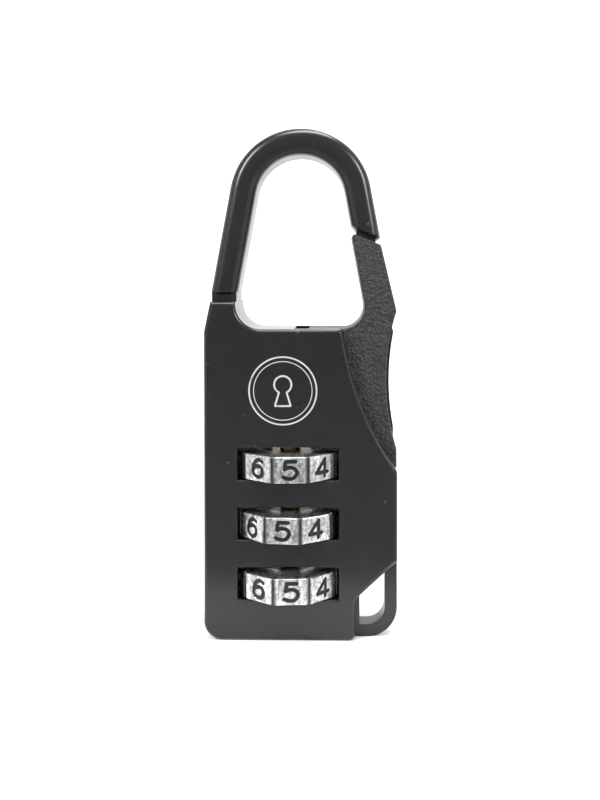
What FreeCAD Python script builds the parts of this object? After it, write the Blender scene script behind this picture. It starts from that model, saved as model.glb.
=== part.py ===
"""Three-dial combination padlock with a carabiner gate.

Millimetres. The front faces -Y, +Z is up, and the dial axis is the Z axis. The origin is
where the dial axis meets the plane of the body's foot.
"""
import FreeCAD, Part
import math
import os
import re
import Sketcher

os.makedirs("parts", exist_ok=True)
doc = FreeCAD.newDocument("CombinationPadlock")

# ---------------------------------------------------------------- driving sizes
SIZES = {
    "dial_radius": 8.4,
    # body outline, seen from the front
    "body_margin": 3.9,
    "body_left": "-(dial_radius + body_margin)",
    "body_right": 15.9,
    "body_top": 45.3,
    "foot_right": 9.65,
    "foot_corner": 2.7,
    "foot_right_round": 0.8,
    "notch_arc": 2.0,
    "notch_angle": 42.5,
    "notch_height": 11.6,
    "shoulder_left": -11.4,
    "shoulder_right": -7.7,
    "shoulder_top": 49.3,
    "shoulder_foot": 44.9,
    "shoulder_arc": 3.7,
    "thumb_cut_x": 7.9,
    "thumb_cut_height": 24.6,
    "thumb_cut_arc": 46.0,
    "thumb_cut_round": 0.8,
    "thumb_cut_foot_round": 1.5,
    "back_corner": 0.8,
    "back_cut_round": 1.5,
    "back_cut_height": 29.6,
    "back_cut_top": 44.1,
    "back_cut_arc": 38.6,
    # body depth
    "body_half_depth": 5.75,
    "cover_depth": 1.8,
    "edge_round": 0.6,
    "window_edge": 0.15,
    # windows and dials
    "dial_height": 3.8,
    "dial_pitch": 8.7,
    "first_dial": 6.05,
    "dial_bore": 4.2,
    "overcut": 2.0,
    "dial_notch_width": 1.6,
    "dial_notch_height": 1.25,
    "dial_groove_width": 0.35,
    "dial_groove_depth": 0.45,
    "window_half_width": 7.37,
    "window_headroom": 0.9,
    "window_footroom": 0.1,
    "dial_gap": 0.1,
    "dial_side_gap": 0.4,
    # sleeves
    "sleeve_top": 3.4,
    "sleeve_foot": 2.6,
    "sleeve_wall_gap": 0.1,
    "sleeve_lug_reach": 0.7,
    "sleeve_lug_height": 1.1,
    "sleeve_groove_top": 1.2,
    "sleeve_groove_height": 0.8,
    "sleeve_groove_depth": 0.9,
    "key_width": 1.2,
    "key_reach": 2.3,
    "key_gap": 0.12,
    # spindle and its parts
    "spindle_radius": 1.5,
    "spindle_foot": 3.6,
    "spindle_top": 41.0,
    "fin_height": 0.7,
    "fin_lead": 0.3,
    "running_gap": 0.05,
    "collar_radius": 2.4,
    "collar_height": 0.8,
    "collar_gap": 0.5,
    "bush_foot": 31.0,
    "bush_height": 2.0,
    "bush_radius": 2.6,
    "clip_radius": 2.5,
    "clip_height": 0.4,
    "clip_groove": 0.4,
    "spindle_spring_height": 4.0,
    "spring_wire": 0.22,
    "spring_slack": 0.02,
    "channel_radius": 4.95,
    "channel_foot": 1.8,
    "channel_top": 29.5,
    # hook
    "hook_centre_x": 1.7,
    "hook_arc": 8.65,
    "hook_width": 3.95,
    "hook_depth": 7.4,
    "overall_height": 75.0,
    "hook_lean": 10.5,
    "hook_round": 1.55,
    "hook_chamfer": 0.35,
    "hook_end_chamfer": 0.45,
    "neck_gap": 1.05,
    "neck_left": -11.4,
    "neck_right": -7.75,
    "neck_half_depth": 3.3,
    "tongue_inset": 0.75,
    "tongue_gap": 0.1,
    "tongue_bite": 0.5,
    "tongue_half_depth": 2.6,
    "hook_end_inner": 60.05,
    "hook_end_outer": 58.25,
    "root_left": -10.9,
    "root_right": -8.3,
    "root_half_depth": 3.2,
    "root_foot": 40.8,
    "root_gap": 0.08,
    "hook_pin_radius": 0.9,
    "hook_pin_height": 43.6,
    "pin_bite": 1.0,
    # gate lever
    "lever_depth": 7.6,
    "lever_gap": 0.15,
    "pivot_x": 12.6,
    "pivot_height": 25.3,
    "pivot_radius": 1.0,
    "boss_radius": 2.2,
    "heel_drop": 0.4,
    "lever_outer": 15.9,
    "thumb_foot": 27.6,
    "thumb_top": 47.9,
    "thumb_arc": 33.8,
    "tip_outer_x": 13.6,
    "tip_inner_x": 9.2,
    "tip_gap": 0.6,
    "tip_round": 0.4,
    "crook_arc": 3.3,
    "lever_foot_x": 2.9,
    "lever_foot_height": 1.4,
    "lever_edge": 0.3,
    "lever_back_x": 6.6,
    "lever_back_height": 41.3,
    "lever_waist_x": 8.6,
    "lever_waist_height": 34.0,
    "nose_tip": -0.9,
    "nose_half_depth": 2.6,
    "nose_slope": 0.355,
    "nose_gap": 0.05,
    "nose_heel": 1.2,
    "nose_heel_inset": 0.2,
    "nose_bite": 1.0,
    "nose_peak_x": 0.5,
    "nose_peak": 0.4,
    "nose_slant": 0.4,
    "heel_inset": 0.1,
    "back_step": 0.6,
    "roof_wall": 0.9,
    "roof_end": 0.85,
    "lever_room": 0.5,
    "nose_room": 3.8,
    "back_room": 1.7,
    "waist_room": 2.0,
    "waist_drop": 1.0,
    "boss_room": 1.2,
    "boss_rise": 2.4,
    "lever_spring_radius": 1.3,
    "lever_spring_seat": 4.2,
    "lever_spring_nip": 0.3,
    "lever_spring_slack": 0.05,
    # reset comb and detent leaf, left of the dials
    "comb_inset": 0.85,
    "comb_width": 1.35,
    "comb_right": "-(dial_radius + comb_inset)",
    "comb_left": "comb_right - comb_width",
    "comb_front": 0.3,
    "comb_back": 3.5,
    "comb_gap": 0.15,
    "comb_travel": 1.5,
    "comb_plate_slack": 0.05,
    "fork_rim": 0.4,
    "fork_mouth": 0.5,
    "arm_bite": 0.2,
    "arm_end": 0.6,
    "arm_room": 1.0,
    "reset_lug_foot": 12.0,
    "reset_lug_height": 1.6,
    "reset_lug_recess": 0.45,
    "reset_spring_radius": 0.62,
    "reset_spring_seat": 1.2,
    "reset_spring_slack": 0.05,
    "leaf_inset": 2.15,
    "leaf_left": "-(dial_radius + leaf_inset)",
    "leaf_thickness": 0.25,
    "leaf_front": -3.6,
    "leaf_back": -1.4,
    "leaf_gap": 0.06,
    "leaf_room": 0.6,
    "leaf_drop": 2.2,
    "leaf_end_gap": 0.2,
    "leaf_top_gap": 0.1,
    "finger_root": 1.2,
    "finger_heel": 0.7,
    "finger_low": 1.7,
    "finger_crease": 1.75,
    "finger_top": 2.3,
    # rivets that hold the cover
    "rivet_radius": 0.9,
    "rivet_head": 1.6,
    "rivet_head_depth": 0.6,
    "rivet_foot_x": 7.1,
    "rivet_foot_height": 3.0,
    "rivet_left_x": -8.0,
    "rivet_left_height": 32.5,
    "rivet_side_x": 12.6,
    "rivet_side_height": 16.5,
    # lanyard eyelet
    "eyelet_depth": 2.75,
    "eyelet_bar": 1.8,
    "eyelet_corner": 4.4,
    "eyelet_hole_left": 10.4,
}

sheet = doc.addObject("Spreadsheet::Sheet", "Sizes")
for row, (alias, value) in enumerate(SIZES.items(), start=1):
    sheet.set(f"A{row}", alias)
    sheet.set(f"B{row}", f"={value}")
    sheet.setAlias(f"B{row}", alias)
doc.recompute()

ALIAS = re.compile(r"\b(" + "|".join(sorted(SIZES, key=len, reverse=True)) + r")\b")
DIALS = ("lower", "middle", "upper")
FACETS = 10
TOLERANCE = 1e-3
COVER_BACK = "(body_half_depth - cover_depth)"
FRONT_PLANE = "body_half_depth"
NOTCH_CORNER = "(notch_height - (body_right - foot_right) * tan(notch_angle))"
NOTCH_RUN = "(notch_arc * tan((90 - notch_angle) / 2))"


def bound(words):
    """Expression in sheet names, as the document reads it."""
    return ALIAS.sub(r"Sizes.\1", words)


def size(words):
    """Value of an expression in sheet names."""
    return float(sheet.evalExpression(bound(words)))


def dial_foot(index):
    """Height of a dial's lower face, counted from the lowest dial."""
    return f"(first_dial + {index} * dial_pitch)"


# ---------------------------------------------------------------- sketch helpers
def new_body(label):
    body = doc.addObject("PartDesign::Body", label)
    body.Label = label
    return body


def origin_item(body, role):
    return next(item for item in body.Origin.OriginFeatures if item.Role == role)


def new_sketch(body, name, role="XZ_Plane", offset="0"):
    """Sketch on an origin plane. An XZ sketch's offset runs towards the front, -Y."""
    sketch = body.newObject("Sketcher::SketchObject", name)
    sketch.AttachmentSupport = (origin_item(body, role), [""])
    sketch.MapMode = "FlatFace"
    sketch.setExpression(".AttachmentOffset.Base.z", bound(offset))
    return sketch


def pin_point(sketch, edge, end, across, up):
    """Hold one end of an edge at sheet-driven distances from the sketch's origin."""
    for kind, words in (("DistanceX", across), ("DistanceY", up)):
        index = sketch.addConstraint(Sketcher.Constraint(kind, -1, 1, edge, end, size(words)))
        sketch.setExpression(f"Constraints[{index}]", bound(words))


def arc_middle(start, end, radius, side):
    """Middle of the short arc from start to end, bulging left (1) or right (-1) of travel."""
    chord = end - start
    rise = radius - math.sqrt(max(radius ** 2 - (chord.Length / 2) ** 2, 0.0))
    across = FreeCAD.Vector(-chord.y, chord.x, 0).normalize()
    return (start + end) / 2 + across * rise * side


def closed_outline(sketch, corners):
    """Closed loop. A corner is (across, up), or (across, up, radius, side) before an arc."""
    points = [FreeCAD.Vector(size(c[0]), size(c[1]), 0) for c in corners]
    first = sketch.GeometryCount
    count = len(corners)
    for index, corner in enumerate(corners):
        start, end = points[index], points[(index + 1) % count]
        if len(corner) == 4:
            middle = arc_middle(start, end, size(corner[2]), corner[3])
            # a sketch's arcs run anticlockwise, so an arc that bulges left of travel is drawn back
            ends_in_order = (start, end) if corner[3] < 0 else (end, start)
            sketch.addGeometry(Part.Arc(ends_in_order[0], middle, ends_in_order[1]), False)
        else:
            sketch.addGeometry(Part.LineSegment(start, end), False)
    starts = []
    ends = []
    for index in range(count):
        curve = sketch.Geometry[first + index]
        forward = curve.StartPoint.distanceToPoint(points[index]) < 1e-6
        starts.append(1 if forward else 2)
        ends.append(2 if forward else 1)
    for index in range(count):
        following = (index + 1) % count
        sketch.addConstraint(Sketcher.Constraint(
            "Coincident", first + index, ends[index], first + following, starts[following]))
    for index, corner in enumerate(corners):
        pin_point(sketch, first + index, starts[index], corner[0], corner[1])
        if len(corner) == 4:
            row = sketch.addConstraint(Sketcher.Constraint("Radius", first + index, size(corner[2])))
            sketch.setExpression(f"Constraints[{row}]", bound(corner[2]))


def rectangle(sketch, left, right, low, high):
    closed_outline(sketch, [(left, low), (right, low), (right, high), (left, high)])


def circle(sketch, across, up, radius):
    centre = FreeCAD.Vector(size(across), size(up), 0)
    edge = sketch.addGeometry(Part.Circle(centre, FreeCAD.Vector(0, 0, 1), size(radius)), False)
    pin_point(sketch, edge, 3, across, up)
    row = sketch.addConstraint(Sketcher.Constraint("Radius", edge, size(radius)))
    sketch.setExpression(f"Constraints[{row}]", bound(radius))


# ---------------------------------------------------------------- feature helpers
def pad(body, sketch, length, reverse=False):
    feature = body.newObject("PartDesign::Pad", sketch.Name + "Pad")
    feature.Profile = sketch
    feature.setExpression("Length", bound(length))
    feature.Reversed = reverse
    sketch.Visibility = False
    doc.recompute()
    return feature


def cut_away(body, sketch, length, kind="PartDesign::Pocket"):
    """Pocket away from the front, or a full-turn groove about the sketch's upright axis."""
    before = body.Shape.Volume
    feature = body.newObject(kind, sketch.Name + "Cut")
    feature.Profile = sketch
    if kind == "PartDesign::Pocket":
        feature.setExpression("Length", bound(length))
    else:
        feature.ReferenceAxis = (sketch, ["V_Axis"])
        feature.Angle = 360
    doc.recompute()
    if not body.Shape.Volume < before - 1e-6:
        raise RuntimeError(f"{sketch.Name} removes nothing")
    return feature


def edges_where(feature, wanted):
    return [f"Edge{i}" for i, edge in enumerate(feature.Shape.Edges, 1) if wanted(edge)]


def in_plane(edge, axis, value):
    """True for an edge that lies in the plane where one coordinate has one value."""
    box = edge.BoundBox
    low, high = {"x": (box.XMin, box.XMax), "y": (box.YMin, box.YMax), "z": (box.ZMin, box.ZMax)}[axis]
    return abs(low - value) < 1e-4 and abs(high - value) < 1e-4


def upright_at(across, up):
    """Test for the edge that runs front to back through a corner of an outline."""
    left, height = size(across), size(up)

    def wanted(edge):
        return in_plane(edge, "x", left) and in_plane(edge, "z", height)

    return wanted


def soften(body, base, wanted, radius, kind="PartDesign::Fillet"):
    """Fillet or chamfer the edges of the last feature that a test picks out."""
    names = edges_where(base, wanted)
    if not names:
        raise RuntimeError(f"{base.Name} has no such edge")
    feature = body.newObject(kind, base.Name + "Edge")
    feature.Base = (base, names)
    feature.setExpression("Radius" if kind.endswith("Fillet") else "Size", bound(radius))
    doc.recompute()
    return feature


def turned(label, parts):
    """Union of round solids about the Z axis: (radius, low, high) in sheet names."""
    solids = []
    for index, (radius, low, high) in enumerate(parts):
        solid = doc.addObject("Part::Cylinder", f"{label}_step{index}")
        solid.setExpression("Radius", bound(radius))
        solid.setExpression("Height", bound(f"{high} - ({low})"))
        solid.setExpression("Placement.Base.z", bound(low))
        solids.append(solid)
    return solids


def block(label, left, right, front, back, low, high):
    """Box between sheet-driven faces."""
    solid = doc.addObject("Part::Box", label)
    for name, near, far in (("Length", left, right), ("Width", front, back), ("Height", low, high)):
        solid.setExpression(name, bound(f"{far} - ({near})"))
    for name, near in (("x", left), ("y", front), ("z", low)):
        solid.setExpression(f"Placement.Base.{name}", bound(near))
    return solid


def fused(label, solids):
    feature = doc.addObject("Part::MultiFuse", label)
    feature.Shapes = solids
    feature.Refine = True
    return feature


def cut(label, base, tool):
    feature = doc.addObject("Part::Cut", label)
    feature.Base = base
    feature.Tool = tool
    feature.Refine = True
    return feature


def cross_pin(label, across, height, radius, front, back):
    """Straight pin along Y between two faces."""
    pin = doc.addObject("Part::Cylinder", label)
    pin.setExpression("Radius", bound(radius))
    pin.setExpression("Height", bound(f"{back} - ({front})"))
    pin.Placement.Rotation = FreeCAD.Rotation(FreeCAD.Vector(1, 0, 0), -90)
    pin.setExpression("Placement.Base.x", bound(across))
    pin.setExpression("Placement.Base.y", bound(front))
    pin.setExpression("Placement.Base.z", bound(height))
    return pin


# ---------------------------------------------------------------- shared outlines
LEFT_SIDE = [
    ("shoulder_right + shoulder_arc", "body_top", "shoulder_arc", 1),
    ("shoulder_right", "body_top + shoulder_arc"),
    ("shoulder_right", "shoulder_top"),
    ("shoulder_left", "shoulder_top"),
    ("body_left", "shoulder_foot"),
    ("body_left", "foot_corner", "foot_corner", -1),
]
FOOT_SIDE = [
    ("body_left + foot_corner", "0"),
    ("foot_right", "0"),
    ("foot_right", f"{NOTCH_CORNER} - {NOTCH_RUN}", "notch_arc", 1),
    (f"foot_right + {NOTCH_RUN} * cos(notch_angle)", f"{NOTCH_CORNER} + {NOTCH_RUN} * sin(notch_angle)"),
    ("body_right", "notch_height"),
]
COVER_OUTLINE = FOOT_SIDE + [
    ("body_right", "thumb_cut_height", "thumb_cut_arc", 1),
    ("thumb_cut_x", "body_top"),
] + LEFT_SIDE
HOUSING_OUTLINE = FOOT_SIDE + [
    ("body_right", "back_cut_height", "back_cut_arc", 1),
    ("body_right", "back_cut_top"),
    ("body_right", "body_top"),
] + LEFT_SIDE

RIVETS = (("rivet_foot_x", "rivet_foot_height"), ("rivet_left_x", "rivet_left_height"),
          ("rivet_side_x", "rivet_side_height"))


def channel_steps():
    """Half outline, right of the axis, of the space for dials, sleeves, bush and spring."""
    steps = [("channel_radius", "channel_foot")]
    for index in range(len(DIALS)):
        low = f"{dial_foot(index)} - dial_gap"
        high = f"{dial_foot(index)} + dial_height + dial_gap"
        pocket = "dial_radius + dial_side_gap"
        steps += [("channel_radius", low), (pocket, low), (pocket, high), ("channel_radius", high)]
    bush_top = "bush_foot + bush_height"
    spring = "collar_radius + collar_gap"
    steps += [("channel_radius", "channel_top"), (spring, "channel_top"), (spring, "bush_foot"),
              ("bush_radius", "bush_foot"), ("bush_radius", bush_top), (spring, bush_top),
              (spring, "bush_foot + bush_height + spindle_spring_height + collar_height")]
    return steps


def cut_channel(body):
    """Round space about the dial axis."""
    steps = channel_steps()
    sketch = new_sketch(body, f"{body.Label}_round")
    closed_outline(sketch, [("0", steps[0][1])] + steps + [("0", steps[-1][1])])
    cut_away(body, sketch, "", "PartDesign::Groove")


# ---------------------------------------------------------------- casing
def front_cover():
    body = new_body("front_cover")
    outline = new_sketch(body, "cover_outline", offset=COVER_BACK)
    closed_outline(outline, COVER_OUTLINE)
    plate = pad(body, outline, "cover_depth")
    front = -size(FRONT_PLANE)
    corner = soften(body, plate, upright_at("thumb_cut_x", "body_top"), "thumb_cut_round")
    side = soften(body, corner, upright_at("body_right", "thumb_cut_height"), "thumb_cut_foot_round")
    soften(body, side, upright_at("foot_right", "0"), "foot_right_round")
    pins = new_sketch(body, "cover_pin_holes", offset=f"{COVER_BACK} + pin_bite")
    circle(pins, "pivot_x", "pivot_height", "pivot_radius")
    circle(pins, "(root_left + root_right) / 2", "hook_pin_height", "hook_pin_radius")
    for across, up in RIVETS:
        circle(pins, across, up, "rivet_radius")
    drilled = cut_away(body, pins, "pin_bite")
    soften(body, drilled, lambda edge: in_plane(edge, "y", front), "edge_round")
    cut_channel(body)
    windows = new_sketch(body, "cover_windows", offset=FRONT_PLANE)
    for index in range(len(DIALS)):
        rectangle(windows, "-window_half_width", "window_half_width",
                  f"{dial_foot(index)} - window_footroom",
                  f"{dial_foot(index)} + dial_height + window_headroom")
    opening = cut_away(body, windows, "cover_depth")

    def window_rim(edge):
        """True for the front edges of the windows."""
        box = edge.BoundBox
        across = max(abs(box.XMin), abs(box.XMax)) < size("window_half_width") + TOLERANCE
        above = box.ZMin > size(f"{dial_foot(0)} - window_footroom") - TOLERANCE
        below = box.ZMax < size(f"{dial_foot(2)} + dial_height + window_headroom") + TOLERANCE
        return in_plane(edge, "y", front) and across and above and below

    soften(body, opening, window_rim, "window_edge")
    return body


def rear_housing():
    body = new_body("rear_housing")
    outline = new_sketch(body, "housing_outline", offset="-body_half_depth")
    closed_outline(outline, HOUSING_OUTLINE)
    mass = pad(body, outline, f"body_half_depth + {COVER_BACK}")
    back = size("body_half_depth")
    for up, radius in (("back_cut_height", "back_cut_round"), ("back_cut_top", "back_cut_round"),
                       ("body_top", "back_corner")):
        mass = soften(body, mass, upright_at("body_right", up), radius)
    soften(body, mass, lambda edge: in_plane(edge, "y", back), "edge_round")

    eyelet = new_sketch(body, "eyelet_outline", offset=f"{COVER_BACK} - eyelet_depth")
    closed_outline(eyelet, [
        ("foot_right - eyelet_bar", "0"), ("body_right - eyelet_corner", "0", "eyelet_corner", -1),
        ("body_right", "eyelet_corner"), ("body_right", "notch_height + eyelet_bar"),
        ("foot_right - eyelet_bar", "notch_height + eyelet_bar")])
    ring = pad(body, eyelet, "eyelet_depth")
    hole = new_sketch(body, "eyelet_hole", offset=COVER_BACK)
    inner = "(eyelet_corner - eyelet_bar)"
    closed_outline(hole, [
        ("eyelet_hole_left", "eyelet_bar"),
        (f"body_right - eyelet_bar - {inner}", "eyelet_bar", inner, -1),
        ("body_right - eyelet_bar", f"eyelet_bar + {inner}"),
        ("body_right - eyelet_bar", "notch_height - eyelet_bar * tan(notch_angle)"),
        ("eyelet_hole_left", f"{NOTCH_CORNER} + (eyelet_hole_left - foot_right) * tan(notch_angle)")])
    cut_away(body, hole, "eyelet_depth")

    cut_channel(body)
    steps = channel_steps()
    mouth = new_sketch(body, "channel_mouth", offset=COVER_BACK)
    mirrored = [(f"-({across})", up) for across, up in reversed(steps)]
    closed_outline(mouth, steps + mirrored)
    cut_away(body, mouth, COVER_BACK)

    windows = new_sketch(body, "rear_windows", offset=f"-{COVER_BACK}")
    for index in range(len(DIALS)):
        rectangle(windows, "-window_half_width", "window_half_width",
                  f"{dial_foot(index)} - window_footroom",
                  f"{dial_foot(index)} + dial_height + window_headroom")
    cut_away(body, windows, "cover_depth")

    lever_space = new_sketch(body, "lever_space", offset=COVER_BACK)
    roof = "body_top - roof_wall"
    floor = "bush_foot + bush_height + spindle_spring_height + lever_gap"
    far = "body_right + overcut"
    over = "shoulder_top + overcut"
    closed_outline(lever_space, [
        ("roof_end", over),
        ("roof_end", roof),
        ("nose_tip - nose_room", roof),
        ("nose_tip - nose_room", floor),
        ("lever_back_x - back_room", floor),
        ("lever_waist_x - waist_room", "lever_waist_height - waist_drop"),
        ("pivot_x - boss_radius - boss_room", "pivot_height + boss_rise"),
        ("pivot_x - boss_radius - lever_room", "pivot_height - heel_drop - lever_room"),
        (far, "pivot_height - heel_drop - lever_room"),
        (far, over)])
    cut_away(body, lever_space, "lever_depth + 2 * lever_gap")
    boss_space = new_sketch(body, "boss_space", offset=COVER_BACK)
    circle(boss_space, "pivot_x", "pivot_height", "boss_radius + lever_gap")
    cut_away(body, boss_space, "lever_depth + 2 * lever_gap")
    spring_space = new_sketch(body, "lever_spring_space", offset=COVER_BACK)
    rectangle(spring_space, "lever_spring_seat", "lever_waist_x",
              "lever_waist_height - lever_spring_radius - lever_gap",
              "lever_waist_height + lever_spring_radius + lever_gap")
    cut_away(body, spring_space, f"{COVER_BACK} + lever_spring_radius + lever_gap")

    root_space = new_sketch(body, "root_space", offset=COVER_BACK)
    rectangle(root_space, "root_left - root_gap", "root_right + root_gap", "root_foot - root_gap", over)
    cut_away(body, root_space, f"{COVER_BACK} + root_half_depth + root_gap")

    comb_space = new_sketch(body, "comb_space", offset=COVER_BACK)
    rectangle(comb_space, "comb_left - comb_gap", "comb_right + comb_gap", "reset_spring_seat",
              f"{dial_foot(2)} - sleeve_groove_top + 2 * comb_gap")
    cut_away(body, comb_space, f"{COVER_BACK} + comb_back + comb_gap")
    arm_space = new_sketch(body, "arm_space", offset=COVER_BACK)
    for index in range(len(DIALS)):
        rectangle(arm_space, "comb_right", "-dial_bore + arm_room",
                  f"{dial_foot(index)} - sleeve_groove_top - sleeve_groove_height - comb_travel - comb_gap",
                  f"{dial_foot(index)} - sleeve_groove_top + comb_gap / 2")
    cut_away(body, arm_space, f"{COVER_BACK} + comb_back + comb_gap")
    reset_slot = new_sketch(body, "reset_slot", offset=COVER_BACK)
    rectangle(reset_slot, "comb_left + comb_gap / 2", "comb_right", "reset_lug_foot - comb_travel - comb_gap",
              "reset_lug_foot + reset_lug_height + comb_gap")
    cut_away(body, reset_slot, f"body_half_depth + {COVER_BACK}")
    leaf_space = new_sketch(body, "leaf_space", offset=COVER_BACK)
    rectangle(leaf_space, "leaf_left - comb_gap / 2", "-dial_radius + leaf_room",
              f"{dial_foot(0)} - leaf_drop - leaf_end_gap",
              f"{dial_foot(2)} + dial_height")
    cut_away(body, leaf_space, f"{COVER_BACK} + leaf_back + 2 * comb_gap")

    pins = new_sketch(body, "housing_pin_holes", offset=COVER_BACK)
    circle(pins, "pivot_x", "pivot_height", "pivot_radius")
    circle(pins, "(root_left + root_right) / 2", "hook_pin_height", "hook_pin_radius")
    cut_away(body, pins, f"2 * {COVER_BACK} + pin_bite")
    rivets = new_sketch(body, "housing_rivet_holes", offset=COVER_BACK)
    for across, up in RIVETS:
        circle(rivets, across, up, "rivet_radius")
    cut_away(body, rivets, f"body_half_depth + {COVER_BACK}")
    seats = new_sketch(body, "housing_rivet_seats", offset="rivet_head_depth - body_half_depth")
    for across, up in RIVETS:
        circle(seats, across, up, "rivet_head")
    cut_away(body, seats, "rivet_head_depth")
    return body


def cover_rivets():
    solids = []
    for index, (across, up) in enumerate(RIVETS):
        seat = "body_half_depth - rivet_head_depth"
        shank = cross_pin(f"rivet_shank{index}", across, up, "rivet_radius",
                          f"-{COVER_BACK} - pin_bite", seat)
        head = cross_pin(f"rivet_head{index}", across, up, "rivet_head", seat, "body_half_depth")
        solids += [shank, head]
    return fused("cover_rivets", solids)


# ---------------------------------------------------------------- hook
def hook_line(radius, height, side):
    """Where a leg's edge, tangent to an arc about the hook's centre, is at a height."""
    centre = "(overall_height - hook_arc - hook_width / 2)"
    reach = f"{radius} * cos(hook_lean)"
    drop = f"({centre} + {radius} * sin(hook_lean) - ({height})) * tan(hook_lean)"
    return f"hook_centre_x + {side} * ({reach} + {drop})"


def tip_face(across):
    """Height of the gate lever's slanted end face at a distance across."""
    slope = "(hook_end_inner - hook_end_outer) / (tip_outer_x - tip_inner_x)"
    return f"(hook_end_inner - tip_gap - ({across} - tip_inner_x) * {slope})"


def shackle_hook():
    body = new_body("shackle_hook")
    centre = "(overall_height - hook_arc - hook_width / 2)"
    outer = "(hook_arc + hook_width / 2)"
    inner = "(hook_arc - hook_width / 2)"
    leg_end = "shoulder_top + neck_gap"
    tangent_out = f"{centre} + {outer} * sin(hook_lean)"
    tangent_in = f"{centre} + {inner} * sin(hook_lean)"
    outline = new_sketch(body, "hook_outline", offset="-hook_depth / 2")
    closed_outline(outline, [
        (hook_line(outer, "hook_end_outer", 1), "hook_end_outer"),
        (hook_line(outer, tangent_out, 1), tangent_out, outer, -1),
        (hook_line(outer, tangent_out, -1), tangent_out),
        (hook_line(outer, leg_end, -1), leg_end),
        (hook_line(inner, leg_end, -1), leg_end),
        (hook_line(inner, tangent_in, -1), tangent_in, inner, 1),
        (hook_line(inner, tangent_in, 1), tangent_in),
        (hook_line(inner, "hook_end_inner", 1), "hook_end_inner")])
    bar = pad(body, outline, "hook_depth")
    half = size("hook_depth / 2")
    low = size(leg_end)

    def long_edge(edge):
        """True for the edges that run along the bar, not across its ends."""
        box = edge.BoundBox
        level = in_plane(edge, "y", half) or in_plane(edge, "y", -half)
        across_end = box.XMin > size("hook_centre_x") and box.ZMax < size("hook_end_inner") + TOLERANCE
        return level and not in_plane(edge, "z", low) and not across_end

    rounded = soften(body, bar, long_edge, "hook_round")

    foot = soften(body, rounded, lambda edge: in_plane(edge, "z", low), "hook_chamfer",
                  "PartDesign::Chamfer")
    end_inner = (size(hook_line(inner, "hook_end_inner", 1)), size("hook_end_inner"))
    end_outer = (size(hook_line(outer, "hook_end_outer", 1)), size("hook_end_outer"))

    def end_edge(edge):
        """True for the edges round the slanted end face."""
        run, drop = end_outer[0] - end_inner[0], end_outer[1] - end_inner[1]
        return all(abs((v.X - end_inner[0]) * drop - (v.Z - end_inner[1]) * run) < TOLERANCE
                   for v in edge.Vertexes)

    soften(body, foot, end_edge, "hook_end_chamfer", "PartDesign::Chamfer")
    neck = new_sketch(body, "hook_neck", offset="-neck_half_depth")
    rectangle(neck, "neck_left", "neck_right", "shoulder_top", f"{leg_end} + hook_chamfer")
    pad(body, neck, "2 * neck_half_depth")
    tongue = new_sketch(body, "hook_tongue", offset="-tongue_half_depth")
    left, right = "(tip_inner_x + tongue_inset)", "(tip_outer_x - tongue_inset)"
    closed_outline(tongue, [
        (left, f"{tip_face(left)} + tongue_gap"),
        (right, f"{tip_face(right)} + tongue_gap"),
        (right, f"{tip_face(right)} + tip_gap + tongue_bite"),
        (left, f"{tip_face(left)} + tip_gap + tongue_bite")])
    pad(body, tongue, "2 * tongue_half_depth")
    root = new_sketch(body, "hook_root", offset="-root_half_depth")
    rectangle(root, "root_left", "root_right", "root_foot", f"{leg_end} + hook_round")
    pad(body, root, "2 * root_half_depth")
    hole = new_sketch(body, "hook_root_hole", offset="root_half_depth")
    circle(hole, "(root_left + root_right) / 2", "hook_pin_height", "hook_pin_radius")
    cut_away(body, hole, "2 * root_half_depth")
    return body


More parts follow.
